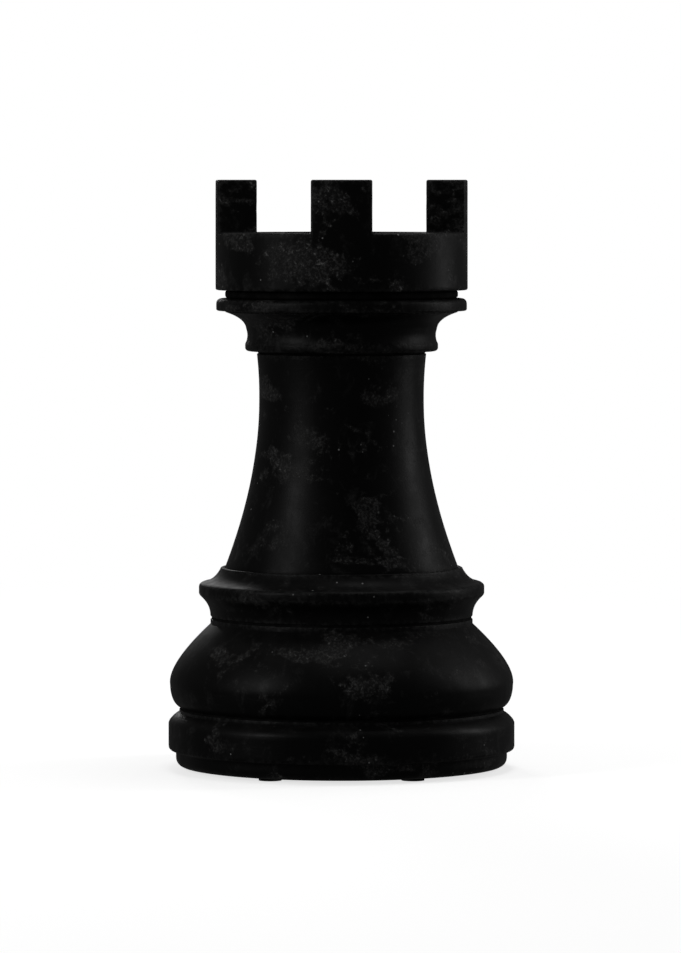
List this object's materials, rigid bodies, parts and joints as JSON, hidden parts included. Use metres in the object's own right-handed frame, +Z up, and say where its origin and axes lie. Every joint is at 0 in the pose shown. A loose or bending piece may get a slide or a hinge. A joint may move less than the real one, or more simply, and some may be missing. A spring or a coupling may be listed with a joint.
{
  "type": "giant chess rook",
  "caption": "Large hollow garden chess rook in stacked moulded sections with a screw-on battlemented crown, weighted dished base and filler plug.",
  "frame": {"origin": "centre of the footprint on the floor, under the rubber pads", "axes": "+Z up along the piece's turning axis; one merlon faces -Y and one faces +X"},
  "size_m": [0.23, 0.23, 0.391],
  "materials": {
    "black_plastic": "fine moulded texture, weathered satin black",
    "rubber": "matt black rubber",
    "steel": "zinc plated",
    "cast_iron": "as cast, painted dark grey"
  },
  "bodies": {
    "piece": {"foot_pads": "rubber", "foot_ring": "black_plastic", "base_plate": "black_plastic", "base_plate_seal": "rubber", "base_plate_screws": "steel", "ballast_ring": "cast_iron", "ballast_bolts": "steel", "filler_socket": "black_plastic", "foot_seal": "rubber", "base_dome": "black_plastic", "waist_seal": "rubber", "waist_collar": "black_plastic", "stem_seal": "rubber", "stem": "black_plastic", "neck_seal": "rubber", "neck_collar": "black_plastic", "cornice_seal": "rubber", "cornice": "black_plastic", "neck_spider": "steel", "tie_rod": "steel", "rod_nuts": "steel", "rod_washers": "steel", "rod_seal": "rubber"},
    "gasket": {"crown_gasket": "rubber"},
    "crown": {"crown_base": "black_plastic", "crown_shell": "black_plastic", "crown_tray": "black_plastic", "crown_screws": "steel"},
    "plug_ring": {"plug_seal": "rubber"},
    "plug": {"filler_plug": "black_plastic"}
  },
  "joints": [
    {"name": "crown_rise", "type": "slide", "parent": "piece", "child": "gasket", "axis": [0, 0, 1], "range_m": [0, 0.0245]},
    {"name": "crown_turn", "type": "hinge", "parent": "gasket", "child": "crown", "pos_m": [0, 0, 0.3181], "axis": [0, 0, 1], "range_deg": [0, 720]},
    {"name": "plug_drop", "type": "slide", "parent": "piece", "child": "plug_ring", "axis": [0, 0, -1], "range_m": [0, 0.0125]},
    {"name": "plug_turn", "type": "hinge", "parent": "plug_ring", "child": "plug", "pos_m": [-0.028, 0, 0.018], "axis": [0, 0, -1], "range_deg": [0, 1080]}
  ],
  "couplings": [
    {"joint": "crown_rise", "follows": "crown_turn", "m_per_rad": 0.0019099},
    {"joint": "plug_drop", "follows": "plug_turn", "m_per_rad": 0.00063662}
  ]
}
